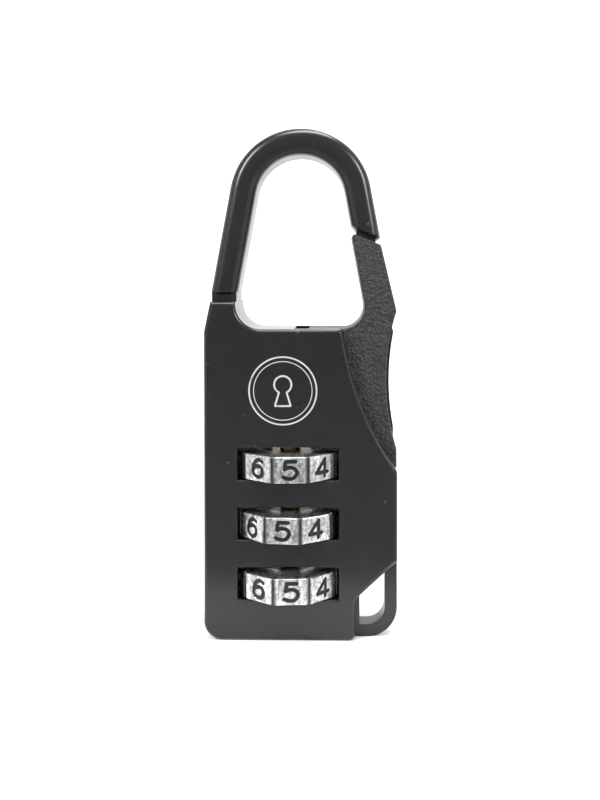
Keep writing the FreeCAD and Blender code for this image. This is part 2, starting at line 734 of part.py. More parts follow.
# ---------------------------------------------------------------- gate lever
def gate_lever():
    body = new_body("gate_lever")
    tip = "(hook_end_inner - tip_gap)"
    crook_height = "(body_top + crook_arc * (1 + sin(hook_lean)))"
    crook = f"(tip_inner_x + ({tip} - {crook_height}) * tan(hook_lean))"
    outline = new_sketch(body, "lever_outline", offset="-lever_depth / 2")
    closed_outline(outline, [
        ("pivot_x - boss_radius + heel_inset", "pivot_height - heel_drop"),
        ("lever_outer", "pivot_height - heel_drop"),
        ("lever_outer", "thumb_foot", "thumb_arc", 1),
        ("lever_outer", "thumb_top"),
        ("tip_outer_x", "hook_end_outer - tip_gap"),
        ("tip_inner_x", tip),
        (crook, crook_height, "crook_arc", 1),
        (f"{crook} - crook_arc * cos(hook_lean)", "body_top"),
        ("lever_foot_x", "body_top"),
        ("lever_foot_x", "body_top - lever_foot_height"),
        ("lever_back_x - back_step", "body_top - lever_foot_height"),
        ("lever_back_x", "lever_back_height"),
        ("lever_waist_x", "lever_waist_height")])
    blade = pad(body, outline, "lever_depth")
    inner_corner = soften(body, blade, upright_at("tip_inner_x", tip), "tip_round")
    outer_corner = soften(body, inner_corner, upright_at("tip_outer_x", "hook_end_outer - tip_gap"), "tip_round")
    half = size("lever_depth / 2")

    def exposed(edge):
        """True for the edges that a thumb can reach."""
        level = in_plane(edge, "y", half) or in_plane(edge, "y", -half)
        middle = edge.CenterOfMass
        outside = middle.z > size("body_top") - TOLERANCE or middle.x > size("tip_outer_x")
        return level and outside and not in_plane(edge, "z", size("pivot_height - heel_drop"))

    soften(body, outer_corner, exposed, "lever_edge")
    boss = new_sketch(body, "lever_boss", offset="-lever_depth / 2")
    circle(boss, "pivot_x", "pivot_height", "boss_radius")
    pad(body, boss, "lever_depth")
    nose = new_sketch(body, "lever_nose", offset="-nose_half_depth")
    contact = "spindle_top + nose_gap + spindle_radius * (sqrt(1 + nose_slope^2) - 1)"
    top = "body_top - lever_foot_height"
    closed_outline(nose, [
        ("nose_tip", f"{contact} + nose_tip * nose_slope"),
        ("lever_back_x - nose_heel", f"{contact} + (lever_back_x - nose_heel) * nose_slope"),
        ("lever_back_x - nose_heel_inset", "lever_back_height"),
        ("lever_back_x + nose_bite", top),
        ("lever_foot_x + nose_peak_x", f"{top} + nose_peak"),
        ("lever_foot_x", top),
        ("nose_tip + nose_slant", top)])
    pad(body, nose, "2 * nose_half_depth")
    hole = new_sketch(body, "lever_hole", offset="lever_depth / 2")
    circle(hole, "pivot_x", "pivot_height", "pivot_radius + running_gap")
    cut_away(body, hole, "lever_depth")
    return body


# ---------------------------------------------------------------- dials and sleeves
def number_dial(index):
    """Ten-sided ring with a notch for each number inside its lower rim."""
    label = f"{DIALS[index]}_dial"
    body = new_body(label)
    ring = new_sketch(body, f"{label}_ring", "XY_Plane", dial_foot(index))
    step = 360 / FACETS
    corners = [(f"dial_radius * cos({step * k})", f"dial_radius * sin({step * k})") for k in range(FACETS)]
    closed_outline(ring, corners)
    circle(ring, "0", "0", "dial_bore")
    pad(body, ring, "dial_height")
    axis = (origin_item(body, "Z_Axis"), [""])
    notch = new_sketch(body, f"{label}_notch", "XY_Plane", f"{dial_foot(index)} + dial_notch_height")
    rectangle(notch, "0", "dial_bore + sleeve_lug_reach + sleeve_wall_gap", "-dial_notch_width / 2",
              "dial_notch_width / 2")
    notch_cut = cut_away(body, notch, "dial_notch_height")
    notches = body.newObject("PartDesign::PolarPattern", f"{label}_notches")
    notches.Originals = [notch_cut]
    notches.Axis = axis
    notches.Angle = 360
    notches.Occurrences = FACETS
    body.Tip = notches
    doc.recompute()
    groove = new_sketch(body, f"{label}_groove", "XY_Plane", f"{dial_foot(index)} + dial_height")
    rectangle(groove, "dial_radius - dial_groove_depth", "dial_radius + overcut", "-dial_groove_width / 2",
              "dial_groove_width / 2")
    groove_cut = cut_away(body, groove, "dial_height")
    grooves = body.newObject("PartDesign::PolarPattern", f"{label}_grooves")
    grooves.Originals = [groove_cut]
    grooves.Axis = axis
    grooves.Angle = 360
    grooves.Occurrences = FACETS
    body.Tip = grooves
    return body


def keyed_sleeve(index):
    """Sleeve with two lugs for the dial, a fork groove and a keyway for the spindle's fin."""
    label = f"{DIALS[index]}_sleeve"
    foot = dial_foot(index)
    wall = "(dial_bore - sleeve_wall_gap)"
    groove_top = f"{foot} - sleeve_groove_top"
    groove_foot = f"{groove_top} - sleeve_groove_height"
    rounds = turned(label, [
        (wall, f"{foot} - sleeve_foot", groove_foot),
        (f"{wall} - sleeve_groove_depth", groove_foot, groove_top),
        (wall, groove_top, f"{foot} + sleeve_top")])
    reach = f"({wall} + sleeve_lug_reach)"
    lug = block(f"{label}_lug", f"-{reach}", reach, "-dial_notch_width / 2 + sleeve_wall_gap",
                "dial_notch_width / 2 - sleeve_wall_gap", f"{foot} + running_gap",
                f"{foot} + sleeve_lug_height")
    solid = fused(f"{label}_solid", rounds + [lug])
    below = f"{foot} - sleeve_foot - overcut"
    above = f"{foot} + sleeve_top + overcut"
    bore = turned(f"{label}_bore", [("spindle_radius + running_gap * 2", below, above)])
    key = block(f"{label}_keyway", "-key_width / 2 - key_gap", "key_width / 2 + key_gap",
                "-key_reach - key_gap", "0", below, above)
    return cut(label, solid, fused(f"{label}_hollow", bore + [key]))


# ---------------------------------------------------------------- spindle and its parts
def spindle():
    """Rod with a domed end, a spring collar and one fin over each sleeve."""
    collar_top = "bush_foot + bush_height + spindle_spring_height + collar_height"
    neck = "bush_foot - running_gap"
    steps = turned("spindle", [
        ("spindle_radius", "spindle_foot", f"{neck} - clip_height"),
        ("spindle_radius - clip_groove", f"{neck} - clip_height", neck),
        ("spindle_radius", neck, "spindle_top - spindle_radius"),
        ("collar_radius", f"{collar_top} - collar_height", collar_top)])
    dome = doc.addObject("Part::Sphere", "spindle_dome")
    dome.setExpression("Radius", bound("spindle_radius"))
    dome.setExpression("Placement.Base.z", bound("spindle_top - spindle_radius"))
    fins = []
    for index in range(len(DIALS)):
        low = f"{dial_foot(index)} + sleeve_top + fin_lead"
        fins.append(block(f"spindle_fin{index}", "-key_width / 2", "key_width / 2", "-key_reach", "0",
                          low, f"{low} + fin_height"))
    return fused("spindle", steps + [dome] + fins)


def spindle_bush():
    ring = turned("bush", [("bush_radius", "bush_foot", "bush_foot + bush_height")])[0]
    bore = turned("bush_bore", [("spindle_radius + running_gap", "bush_foot - overcut",
                                 "bush_foot + bush_height + overcut")])[0]
    return cut("spindle_bush", ring, bore)


def spindle_clip():
    """Open ring that sits in the spindle's groove under the bush."""
    top = "bush_foot - running_gap"
    ring = turned("clip", [("clip_radius", f"{top} - clip_height", top)])[0]
    below = f"{top} - overcut"
    above = f"{top} + overcut"
    bore = turned("clip_bore", [("spindle_radius - clip_groove", below, above)])[0]
    mouth = block("clip_mouth", "-spindle_radius + clip_groove", "spindle_radius - clip_groove",
                  "0", "clip_radius + overcut", below, above)
    return cut("spindle_clip", ring, fused("clip_hollow", [bore, mouth]))


def coil(label, radius, length, turns, wire, place):
    """Open coil spring along its own Z, then put in place."""
    helix = Part.makeHelix(length / turns, length, radius)
    section = Part.Circle(FreeCAD.Vector(radius, 0, 0), FreeCAD.Vector(0, 1, 0), wire)
    profile = Part.Wire([section.toShape()])
    spring = doc.addObject("Part::Feature", label)
    spring.Shape = Part.Wire(helix.Edges).makePipeShell([profile], True, True)
    spring.Placement = place
    return spring


def springs():
    """The spindle's, the lever's and the reset comb's return springs."""
    wire = size("spring_wire")
    upright = FreeCAD.Rotation()
    slack = size("spring_slack")
    bush_top = size("bush_foot + bush_height")
    coil("spindle_spring", size("(spindle_radius + collar_radius) / 2"),
         size("spindle_spring_height") - 2 * wire - 2 * slack, 5, wire,
         FreeCAD.Placement(FreeCAD.Vector(0, 0, bush_top + wire + slack), upright))
    along = FreeCAD.Rotation(FreeCAD.Vector(0, 1, 0), 90)
    start = size("lever_spring_seat + spring_wire + lever_spring_slack")
    length = size("lever_waist_x - lever_spring_seat - lever_spring_nip - 2 * spring_wire")
    coil("lever_spring", size("lever_spring_radius - spring_wire"), length, 5, wire,
         FreeCAD.Placement(FreeCAD.Vector(start, 0, size("lever_waist_height")), along))
    # the comb's spring is wound from wire of half the thickness
    foot = size("reset_spring_seat + spring_wire / 2 + reset_spring_slack")
    comb_foot = size(f"{dial_foot(0)} - sleeve_groove_top - sleeve_groove_height + comb_plate_slack")
    place = FreeCAD.Vector(size("(comb_left + comb_right) / 2"), size("(comb_front + comb_back) / 2"), foot)
    coil("reset_spring", size("reset_spring_radius - spring_wire / 2"),
         comb_foot - foot - size("spring_wire / 2 + reset_spring_slack"), 4, wire / 2,
         FreeCAD.Placement(place, upright))


# ---------------------------------------------------------------- reset comb and detent leaf
def reset_slider():
    """Upright bar with a fork round each sleeve and a lug that a pen tip pushes down."""
    foot = f"{dial_foot(0)} - sleeve_groove_top - sleeve_groove_height + comb_plate_slack"
    top = f"{dial_foot(2)} - sleeve_groove_top - comb_plate_slack"
    pieces = [block("comb_bar", "comb_left", "comb_right", "comb_front", "comb_back", foot, top),
              block("comb_lug", "comb_left + comb_gap", "comb_right - comb_gap / 2", "comb_front",
                    "body_half_depth - reset_lug_recess", "reset_lug_foot",
                    "reset_lug_foot + reset_lug_height")]
    wall = "(dial_bore - sleeve_wall_gap)"
    plate = "sleeve_groove_height - 2 * comb_plate_slack"
    for index in range(len(DIALS)):
        low = f"({dial_foot(index)} - sleeve_groove_top - sleeve_groove_height + comb_plate_slack)"
        below = f"{low} - overcut"
        above = f"{low} + {plate} + overcut"
        disc = turned(f"fork_disc{index}", [(f"{wall} + fork_rim", low, f"{low} + {plate}")])[0]
        bore = turned(f"fork_bore{index}", [(f"{wall} - sleeve_groove_depth + comb_gap", below, above)])[0]
        mouth = block(f"fork_opening{index}", "fork_mouth", "dial_bore + overcut", "-dial_bore - overcut",
                      "dial_bore + overcut", below, above)
        arm = block(f"fork_arm{index}", "comb_right - arm_bite", "-dial_bore + arm_end", "comb_front",
                    "comb_back", low, f"{low} + {plate}")
        ring = cut(f"fork{index}", fused(f"fork_plate{index}", [disc, arm]),
                   fused(f"fork_hollow{index}", [bore, mouth]))
        pieces.append(ring)
    return fused("reset_slider", pieces)


def detent_spring():
    """Leaf spring with one finger that rests on a flat of each dial."""
    body = new_body("detent_spring")
    outline = new_sketch(body, "leaf_outline", offset="-leaf_back")
    half_turn = 180 / FACETS
    flat = f"(dial_radius * cos({half_turn}))"
    # where a dial's flat crosses the finger's rear edge
    reach = f"(-({flat} + leaf_back * sin({half_turn})) / cos({half_turn}) - leaf_gap)"
    inner = "(leaf_left + leaf_thickness)"
    leaf_top = f"{dial_foot(2)} + dial_height - leaf_top_gap"
    corners = [("leaf_left", f"{dial_foot(0)} - leaf_drop"), (inner, f"{dial_foot(0)} - leaf_drop")]
    for index in range(len(DIALS)):
        foot = dial_foot(index)
        corners += [
            (inner, f"{foot} - finger_root"),
            (reach, f"{foot} + finger_low"),
            (reach, f"{foot} + finger_top"),
            (f"{reach} - leaf_thickness", f"{foot} + finger_top"),
            (f"{reach} - leaf_thickness", f"{foot} + finger_crease"),
            (inner, f"{foot} - finger_heel")]
    corners += [(inner, leaf_top), ("leaf_left", leaf_top)]
    closed_outline(outline, corners)
    pad(body, outline, "leaf_back - leaf_front")
    return body


# ---------------------------------------------------------------- build, check and write
front_cover()
rear_housing()
cover_rivets()
shackle_hook()
cross_pin("hook_pin", "(root_left + root_right) / 2", "hook_pin_height", "hook_pin_radius",
          f"-{COVER_BACK} - pin_bite", f"{COVER_BACK} + pin_bite")
gate_lever()
cross_pin("lever_pivot_pin", "pivot_x", "pivot_height", "pivot_radius",
          f"-{COVER_BACK} - pin_bite", f"{COVER_BACK} + pin_bite")
for number in range(len(DIALS)):
    number_dial(number)
    keyed_sleeve(number)
spindle()
spindle_bush()
spindle_clip()
springs()
reset_slider()
detent_spring()
doc.recompute()

NODES = ["front_cover", "rear_housing", "cover_rivets", "shackle_hook", "hook_pin", "gate_lever",
         "lever_pivot_pin", "lever_spring", "spindle", "spindle_bush", "spindle_clip",
         "spindle_spring", "reset_slider", "reset_spring", "detent_spring"]
NODES += [f"{place}_{piece}" for place in DIALS for piece in ("dial", "sleeve")]

faults = [item.Label for item in doc.Objects if {"Invalid", "Error"} & set(item.State)]
if faults:
    raise RuntimeError(f"failed objects: {faults}")
for node in NODES:
    shape = doc.getObjectsByLabel(node)[0].Shape
    if shape.isNull() or not shape.isValid():
        raise RuntimeError(f"{node} has no valid shape")
for node in NODES:
    piece = doc.getObjectsByLabel(node)[0]
    piece.Shape.exportStep(f"parts/{node}.step")
    print(f"{node}: {len(piece.Shape.Solids)} solid, {piece.Shape.Volume:.2f} mm3")
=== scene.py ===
"""Looks of the three-dial combination padlock: enamel, grained lever, engraved dials and print.

Metres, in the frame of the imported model: -Y is the front, +Z is up, the dials turn about Z.
"""
import math

import bpy
import numpy as np
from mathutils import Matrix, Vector


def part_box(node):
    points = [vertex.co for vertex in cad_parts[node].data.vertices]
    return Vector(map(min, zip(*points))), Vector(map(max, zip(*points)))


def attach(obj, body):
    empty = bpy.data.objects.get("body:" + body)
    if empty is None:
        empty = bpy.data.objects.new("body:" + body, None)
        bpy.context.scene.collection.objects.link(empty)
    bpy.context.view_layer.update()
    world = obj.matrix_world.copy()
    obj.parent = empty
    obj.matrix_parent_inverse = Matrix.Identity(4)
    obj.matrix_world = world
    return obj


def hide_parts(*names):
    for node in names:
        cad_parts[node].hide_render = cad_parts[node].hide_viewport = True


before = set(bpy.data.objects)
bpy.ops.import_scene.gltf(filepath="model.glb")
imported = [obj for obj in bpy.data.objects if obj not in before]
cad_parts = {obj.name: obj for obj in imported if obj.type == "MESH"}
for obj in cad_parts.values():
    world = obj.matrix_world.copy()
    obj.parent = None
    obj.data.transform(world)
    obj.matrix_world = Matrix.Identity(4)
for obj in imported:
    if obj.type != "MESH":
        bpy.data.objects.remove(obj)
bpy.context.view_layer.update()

MM = 0.001
DIALS = ("lower", "middle", "upper")


# ---------------------------------------------------------------- meshes from grids
def skin(name, points, wrap_u=False, wrap_v=False, caps=()):
    """Quad surface over a grid of points (rows run along u, columns along v), closed where it wraps.

    A cap name, "first" or "last", closes that row of the grid with one flat face.
    """
    rows, columns = points.shape[:2]
    index = np.arange(rows * columns).reshape(rows, columns)
    if wrap_u:
        index = np.vstack([index, index[:1]])
    if wrap_v:
        index = np.hstack([index, index[:, :1]])
    quads = np.stack([index[:-1, :-1], index[:-1, 1:], index[1:, 1:], index[1:, :-1]], -1).reshape(-1, 4)
    faces = quads.tolist()
    ring = np.arange(columns)
    if "first" in caps:
        faces.append(ring[::-1].tolist())
    if "last" in caps:
        faces.append((ring + (rows - 1) * columns).tolist())
    mesh = bpy.data.meshes.new(name)
    mesh.from_pydata(points.reshape(-1, 3).tolist(), [], faces)
    mesh.update()
    piece = bpy.data.objects.new(name, mesh)
    bpy.context.scene.collection.objects.link(piece)
    return piece


def smooth(piece, angle=35):
    """Rounded shading, with corners sharper than the angle kept crisp."""
    mesh = piece.data
    mesh.shade_smooth()
    mesh.set_sharp_from_angle(angle=math.radians(angle))
    return piece


def paint(piece, material):
    piece.data.materials.clear()
    piece.data.materials.append(material)
    return piece


def vertex_value(piece, name, values):
    layer = piece.data.attributes.new(name, "FLOAT", "POINT")
    layer.data.foreach_set("value", np.asarray(values, np.float32).ravel())


# ---------------------------------------------------------------- shader expressions
class Value:
    """A shader socket that takes part in arithmetic; each operator adds one Math node."""

    def __init__(self, finish, socket):
        self.finish, self.socket = finish, socket

    def _math(self, operation, *others, clamp=False):
        sockets = {i: v for i, v in enumerate(others)}
        return self.finish.node("ShaderNodeMath", {"operation": operation, "use_clamp": clamp}, sockets)

    def __add__(self, other):
        return self._math("ADD", self, other)

    def __radd__(self, other):
        return self._math("ADD", other, self)

    def __sub__(self, other):
        return self._math("SUBTRACT", self, other)

    def __rsub__(self, other):
        return self._math("SUBTRACT", other, self)

    def __mul__(self, other):
        return self._math("MULTIPLY", self, other)

    def __rmul__(self, other):
        return self._math("MULTIPLY", other, self)

    def above(self, low, high):
        """0 below low, 1 above high, straight between."""
        return self._math("ADD", (self - low) * (1.0 / (high - low)), 0.0, clamp=True)

    def part(self, name):
        """One output of the same node, by name."""
        return Value(self.finish, self.socket.node.outputs[name])


class Finish:
    """A material under construction."""

    def __init__(self, name):
        self.material = bpy.data.materials.new(name)
        self.material.use_nodes = True
        self.tree = self.material.node_tree
        self.tree.nodes.clear()
        self.place = self.node("ShaderNodeTexCoord").part("Object")

    def node(self, kind, settings=None, sockets=None, out=0):
        item = self.tree.nodes.new(kind)
        for key, value in (settings or {}).items():
            setattr(item, key, value)
        for key, value in (sockets or {}).items():
            if isinstance(value, Value):
                self.tree.links.new(value.socket, item.inputs[key])
            else:
                item.inputs[key].default_value = value
        return Value(self, item.outputs[out])

    def noise(self, scale, detail=2.0, stretch=None, roughness=0.5):
        """Noise on the piece's own place, in features per metre, stretched per axis if asked."""
        place = self.place
        if stretch:
            place = self.node("ShaderNodeVectorMath", {"operation": "MULTIPLY"}, {0: place, 1: stretch})
        return self.node("ShaderNodeTexNoise", None, {"Vector": place, "Scale": scale, "Detail": detail,
                                                      "Roughness": roughness})

    def mix(self, mask, low, high):
        """Colour low where the mask is 0, high where it is 1."""
        return self.node("ShaderNodeMix", {"data_type": "RGBA"}, {0: mask, 6: low, 7: high}, out=2)

    def bump(self, height, distance, strength=1.0, under=None):
        sockets = {"Height": height, "Distance": distance, "Strength": strength}
        if under is not None:
            sockets["Normal"] = under
        return self.node("ShaderNodeBump", None, sockets)

    def done(self, **sockets):
        named = {key.replace("_", " "): value for key, value in sockets.items()}
        surface = self.node("ShaderNodeBsdfPrincipled", None, named)
        out = self.tree.nodes.new("ShaderNodeOutputMaterial")
        self.tree.links.new(surface.socket, out.inputs["Surface"])
        return self.material


def grey(value, warmth=0.0):
    return (value * (1 + warmth), value, value * (1 - warmth), 1.0)


# ---------------------------------------------------------------- finishes
def satin_enamel():
    """Sprayed black enamel: faint orange peel, uneven sheen and a few dust nibs."""
    finish = Finish("satin_black_enamel")
    peel = finish.noise(1500, 2)
    sheen = finish.noise(160, 3)
    nibs = finish.noise(900, 1).above(0.74, 0.80)
    colour = finish.mix(sheen, grey(0.0065), grey(0.0105))
    colour = finish.mix(nibs * 0.5, colour, grey(0.06))
    normal = finish.bump(peel + nibs * 1.5, 0.000012, 0.55)
    return finish.done(Base_Color=colour, Roughness=0.20 + sheen * 0.1 + nibs * 0.2, Normal=normal,
                       Specular_IOR_Level=0.42)


def grained_enamel():
    """Leather-like grained black on the lever: rounded bumps, shiny on top and dull between, with painted shade
    between the bumps.
    """
    finish = Finish("grained_black_enamel")
    cells = finish.node("ShaderNodeTexVoronoi", {"feature": "SMOOTH_F1"},
                        {"Vector": finish.place, "Scale": 2600.0, "Smoothness": 0.6}).part("Distance")
    fine = finish.noise(4200, 3, roughness=0.6)
    height = fine * 0.9 - cells * 0.9
    tops = height.above(0.02, 0.22)
    # painted shade: colour darker in the valleys between the grain bumps and lighter on their tops
    colour = finish.mix(tops, grey(0.004), grey(0.020))
    normal = finish.bump(height, 0.00022, 1.0)
    return finish.done(Base_Color=colour, Roughness=0.50 - tops * 0.20, Normal=normal,
                       Specular_IOR_Level=0.5)


def dial_nickel():
    """Bright nickel over a rough casting: mottled, pitted, drawn upright, with painted shade beside the grooves,
    and with black paint in the engraved figures."""
    finish = Finish("dial_nickel")
    ink = finish.node("ShaderNodeAttribute", {"attribute_name": "ink"}).part("Fac")
    groove_shade = finish.node("ShaderNodeAttribute", {"attribute_name": "groove_shade"}).part("Fac")
    lines = finish.noise(1500, 3, stretch=(1.0, 1.0, 0.18), roughness=0.6)
    mottle = finish.noise(1900, 4, roughness=0.7)
    pits = finish.noise(3600, 2).above(0.60, 0.70)
    cloud = finish.noise(420, 3)
    dull = (mottle * 0.6 + lines * 0.4).above(0.40, 0.60)
    metal = finish.mix(dull, grey(0.24, 0.004), grey(0.80, 0.004))
    metal = finish.mix(pits * 0.7, metal, grey(0.14))
    # painted shade: the nickel darkened beside the grooves between flats, broken up by the cloud noise
    metal = finish.mix((groove_shade * (0.55 + cloud)).above(0.25, 0.85) * 0.8, metal, grey(0.10))
    mask = ink.above(0.25, 0.7)
    colour = finish.mix(mask, metal, grey(0.003))
    rough = 0.26 + lines * 0.18 + pits * 0.15
    rough = rough + mask * 0.1
    normal = finish.bump(mottle * 0.7 + lines * 0.5 - pits * 0.6, 0.00007, 0.8)
    return finish.done(Base_Color=colour, Metallic=1.0 - mask, Roughness=rough, Normal=normal)


def turned_metal(name, tone, warmth, roughness):
    """Bare turned metal with fine rings round its axis."""
    finish = Finish(name)
    rings = finish.noise(2600, 2, stretch=(0.2, 0.2, 1.0))
    stain = finish.noise(350, 3)
    colour = finish.mix(stain, grey(tone, warmth), grey(tone * 0.75, warmth))
    normal = finish.bump(rings, 0.000008, 0.5)
    return finish.done(Base_Color=colour, Metallic=1.0, Roughness=roughness + rings * 0.15, Normal=normal)


def comb_plastic():
    finish = Finish("comb_acetal")
    skin_grain = finish.noise(2400, 2)
    colour = finish.mix(skin_grain, grey(0.012), grey(0.02))
    return finish.done(Base_Color=colour, Roughness=0.42 + skin_grain * 0.1,
                       Normal=finish.bump(skin_grain, 0.00001, 0.4))


def print_ink():
    """Pale grey pad print, thin enough to let the enamel's peel through."""
    finish = Finish("pale_print_ink")
    speckle = finish.noise(5200, 2)
    worn = finish.noise(1300, 3).above(0.62, 0.72)
    colour = finish.mix(speckle, grey(0.40), grey(0.56))
    colour = finish.mix(worn * 0.6, colour, grey(0.12))
    return finish.done(Base_Color=colour, Roughness=0.5 + speckle * 0.15,
                       Normal=finish.bump(speckle, 0.000006, 0.5))


ENAMEL = satin_enamel()
GRAIN = grained_enamel()
NICKEL = dial_nickel()
BRASS = turned_metal("turned_brass", 0.55, 0.25, 0.28)
STEEL = turned_metal("ground_steel", 0.5, 0.0, 0.25)
SPRING = turned_metal("spring_steel", 0.38, 0.02, 0.3)
COMB = comb_plastic()
PRINT = print_ink()

NODE_FINISHES = {
    "front_cover": ENAMEL, "rear_housing": ENAMEL, "shackle_hook": ENAMEL, "cover_rivets": ENAMEL,
    "gate_lever": GRAIN, "hook_pin": STEEL, "lever_pivot_pin": STEEL, "lever_spring": SPRING,
    "spindle_spring": SPRING, "reset_spring": SPRING, "detent_spring": SPRING, "spindle_clip": SPRING,
    "spindle": BRASS, "spindle_bush": BRASS, "reset_slider": COMB,
    "lower_sleeve": BRASS, "middle_sleeve": BRASS, "upper_sleeve": BRASS,
}
for node_name, material in NODE_FINISHES.items():
    paint(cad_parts[node_name], material)


# ---------------------------------------------------------------- figures
FIGURE_HALF = 1.23
STROKE_HALF = 0.285


def curve_through(points, steps=9):
    """Catmull-Rom curve through the points, as an open polyline."""
    held = np.array([points[0]] + list(points) + [points[-1]], float)
    t = np.linspace(0, 1, steps, endpoint=False)[:, None]
    runs = []
    for a, b, c, d in zip(held, held[1:], held[2:], held[3:]):
        runs.append(0.5 * (2 * b + (c - a) * t + (2 * a - 5 * b + 4 * c - d) * t ** 2
                           + (3 * b - a - 3 * c + d) * t ** 3))
    runs.append(np.array([points[-1]], float))
    return np.vstack(runs)


def oval(across, up, wide, tall, start=0, sweep=360):
    """Arc of an ellipse, angles in degrees from the right, anticlockwise."""
    turn = np.radians(np.linspace(start, start + sweep, 33))
    return np.stack([across + wide * np.cos(turn), up + tall * np.sin(turn)], 1)


def straight(*points):
    return np.array(points, float)


TOP, LOW = FIGURE_HALF, -FIGURE_HALF
FIGURES = {
    0: [oval(0, 0, 0.92, FIGURE_HALF)],
    1: [straight((-0.45, 0.75), (0.15, TOP), (0.15, LOW))],
    2: [curve_through([(-0.85, 0.62), (-0.5, 1.12), (0.1, TOP), (0.72, 0.95), (0.8, 0.35), (0.3, -0.3),
                       (-0.95, LOW)]), straight((-0.95, LOW), (0.98, LOW))],
    3: [straight((-0.8, TOP), (0.8, TOP), (0.0, 0.25)),
        curve_through([(0.0, 0.25), (0.72, 0.05), (0.92, -0.5), (0.5, -1.08), (-0.15, LOW), (-0.9, -0.95)])],
    4: [straight((0.42, LOW), (0.42, TOP), (-1.05, -0.62), (0.98, -0.62))],
    5: [straight((0.82, TOP), (-0.62, TOP), (-0.82, 0.12)),
        curve_through([(-0.82, 0.12), (-0.1, 0.38), (0.72, 0.18), (1.0, -0.45), (0.55, -1.08), (-0.15, LOW),
                       (-1.0, -0.98)])],
    6: [oval(0, -0.45, 0.86, 0.78),
        curve_through([(-0.86, -0.45), (-0.82, 0.3), (-0.45, 0.95), (0.15, TOP), (0.78, 1.0)])],
    7: [straight((-0.85, TOP), (0.9, TOP), (-0.2, LOW))],
    8: [oval(0, 0.62, 0.68, 0.61), oval(0, -0.62, 0.86, 0.61)],
    9: [oval(0, 0.45, 0.86, 0.78),
        curve_through([(0.86, 0.45), (0.82, -0.3), (0.45, -0.95), (-0.15, LOW), (-0.78, -1.0)])],
}


def stroke_distance(across, up, strokes):
    """Distance from each point to the nearest stroke of a figure."""
    best = np.full(across.shape, np.inf)
    for line in strokes:
        for (ax, ay), (bx, by) in zip(line, line[1:]):
            run = np.array([bx - ax, by - ay])
            along = ((across - ax) * run[0] + (up - ay) * run[1]) / max(run @ run, 1e-12)
            along = np.clip(along, 0, 1)
            best = np.minimum(best, np.hypot(across - ax - along * run[0], up - ay - along * run[1]))
    return best


def ramp(value, low, high):
    """Smooth step from 0 at low to 1 at high."""
    t = np.clip((value - low) / (high - low), 0, 1)
    return t * t * (3 - 2 * t)


# ---------------------------------------------------------------- dials
FACETS = 10
DIAL_TURN = {"lower": 4.0, "middle": -5.0, "upper": 3.0}
FRONT_FIGURE = 5
ENGRAVE_DEPTH = 0.26
GROOVE_HALF = 0.13
GROOVE_DEPTH = 0.32
RIM_ROUND = 0.22
DIAL_BORE = 4.2
ACROSS_STEPS = 88
UP_STEPS = 62


def number_dial(name):
    """Ten-flat ring carried round Z: radius = flat / cos(angle from the flat's middle), less the rounding at
    both rims, less the groove between flats, less the engraved strokes. The section closes over both faces
    and down the bore."""
    low, high = (np.array(corner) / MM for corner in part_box(f"{name}_dial"))
    tall = high[2] - low[2]
    corner_radius = high[0] / math.cos(math.asin(0.5 * 0.35 / high[0]))
    flat = -low[1]
    corner_radius = flat / math.cos(math.pi / FACETS)
    facet = np.repeat(np.arange(FACETS), ACROSS_STEPS)
    local = np.tile((np.arange(ACROSS_STEPS) + 0.5) / ACROSS_STEPS - 0.5, FACETS) * 2 * math.pi / FACETS
    angle = -math.pi / 2 + facet * 2 * math.pi / FACETS + local + math.radians(DIAL_TURN[name])
    up = np.linspace(0, tall, UP_STEPS)
    across = flat * np.tan(local)
    base = np.minimum(flat / np.cos(local), corner_radius - 0.12)
    edge = flat * math.tan(math.pi / FACETS) - np.abs(across)
    groove = GROOVE_DEPTH * (1 - ramp(edge, GROOVE_HALF * 0.55, GROOVE_HALF * 1.3))
    rim = np.minimum(up, tall - up)
    rounding = RIM_ROUND - np.sqrt(np.clip(RIM_ROUND ** 2 - np.clip(RIM_ROUND - rim, 0, None) ** 2, 0, None))
    ink = np.zeros((len(angle), UP_STEPS))
    for k in range(FACETS):
        rows = facet == k
        digit = (FRONT_FIGURE - k) % FACETS
        gap = stroke_distance(across[rows][:, None] * np.ones(UP_STEPS), (up - tall / 2)[None, :]
                              * np.ones((rows.sum(), 1)), FIGURES[digit])
        ink[rows] = 1 - ramp(gap, STROKE_HALF - 0.05, STROKE_HALF + 0.04)
    # painted shade: a band beside each groove between flats, darkened later in the nickel finish
    groove_shade_band = (1 - ramp(edge, GROOVE_HALF, 5 * GROOVE_HALF))[:, None] * np.ones(UP_STEPS)
    radius = base[:, None] - groove[:, None] - rounding[None, :] - ENGRAVE_DEPTH * ink
    ring = np.ones(len(angle))
    face_radius = base - groove - RIM_ROUND
    inner = DIAL_BORE + 0.25
    section_radius = np.column_stack([ring * inner, (face_radius + inner) / 2, radius,
                                      (face_radius + inner) / 2, ring * inner,
                                      ring * DIAL_BORE, ring * DIAL_BORE])
    heights = np.concatenate([[0, 0], up, [tall, tall, tall - 0.2, 0.2]])
    section_up = np.broadcast_to(heights, section_radius.shape)
    points = np.stack([section_radius * np.cos(angle)[:, None], section_radius * np.sin(angle)[:, None],
                       section_up + low[2]], -1) * MM
    piece = skin(f"{name}_number_dial", points, wrap_u=True, wrap_v=True)
    pad_front = np.zeros((len(angle), 2))
    pad_back = np.zeros((len(angle), 4))
    vertex_value(piece, "ink", np.hstack([pad_front, ink, pad_back]))
    vertex_value(piece, "groove_shade", np.hstack([pad_front, groove_shade_band, pad_back]))
    smooth(piece, 50)
    paint(piece, NICKEL)
    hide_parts(f"{name}_dial")
    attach(piece, f"{name}_dial")
    return piece


for dial_name in DIALS:
    number_dial(dial_name)


# ---------------------------------------------------------------- print on the cover
PRINT_CENTRE = (-0.75, 36.4)
PRINT_THICKNESS = 0.02


